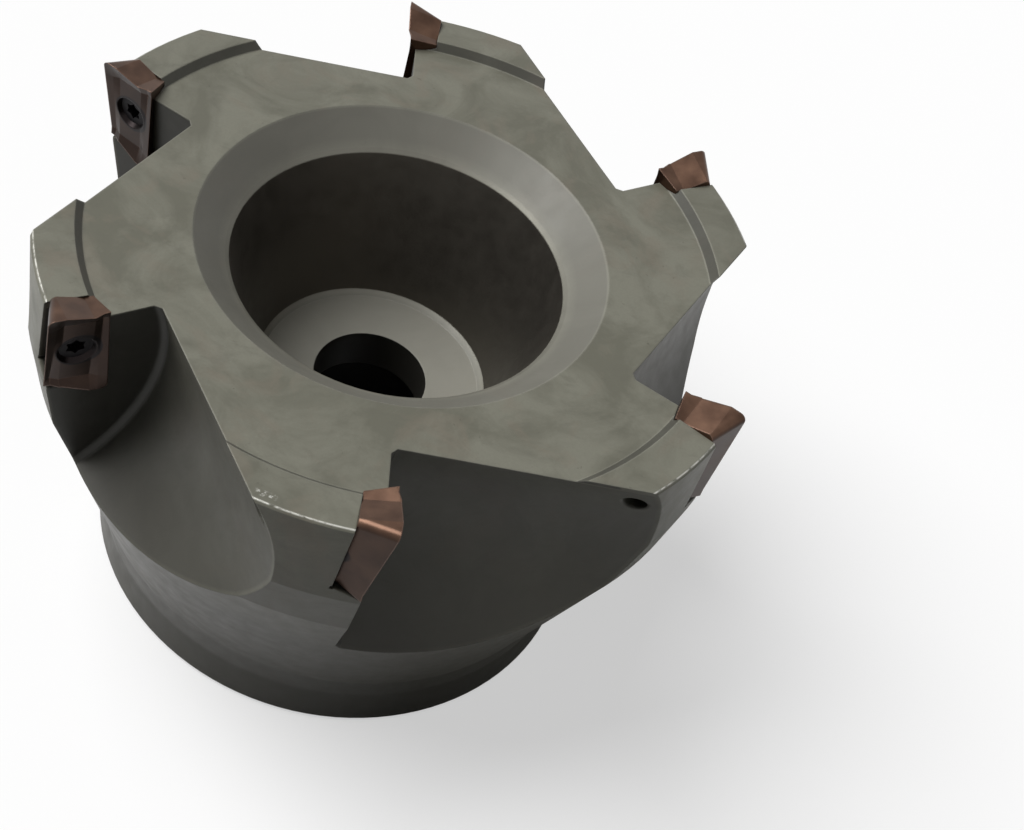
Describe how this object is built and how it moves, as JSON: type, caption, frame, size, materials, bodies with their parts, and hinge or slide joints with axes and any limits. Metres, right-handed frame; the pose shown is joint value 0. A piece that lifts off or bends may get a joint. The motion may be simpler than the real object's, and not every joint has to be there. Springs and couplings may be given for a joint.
{
  "type": "indexable shell mill",
  "caption": "Face milling cutter with clamped carbide inserts round a steel body that seats on an arbor by its rear bore, face and drive slot.",
  "frame": {"origin": "centre of the hub's rear face, on the arbor axis", "axes": "+Z along the arbor axis towards the cutting face, +Y through the first tooth"},
  "size_m": [0.0744, 0.0792, 0.05],
  "materials": {
    "body": "matt grey tool steel",
    "insert": "bronze coated carbide",
    "screw": "black oxide steel"
  },
  "bodies": {
    "root": {"cutter_body": "body", "insert_1": "insert", "insert_screw_1": "screw", "insert_2": "insert", "insert_screw_2": "screw", "insert_3": "insert", "insert_screw_3": "screw", "insert_4": "insert", "insert_screw_4": "screw", "insert_5": "insert", "insert_screw_5": "screw", "insert_6": "insert", "insert_screw_6": "screw"}
  },
  "joints": []
}
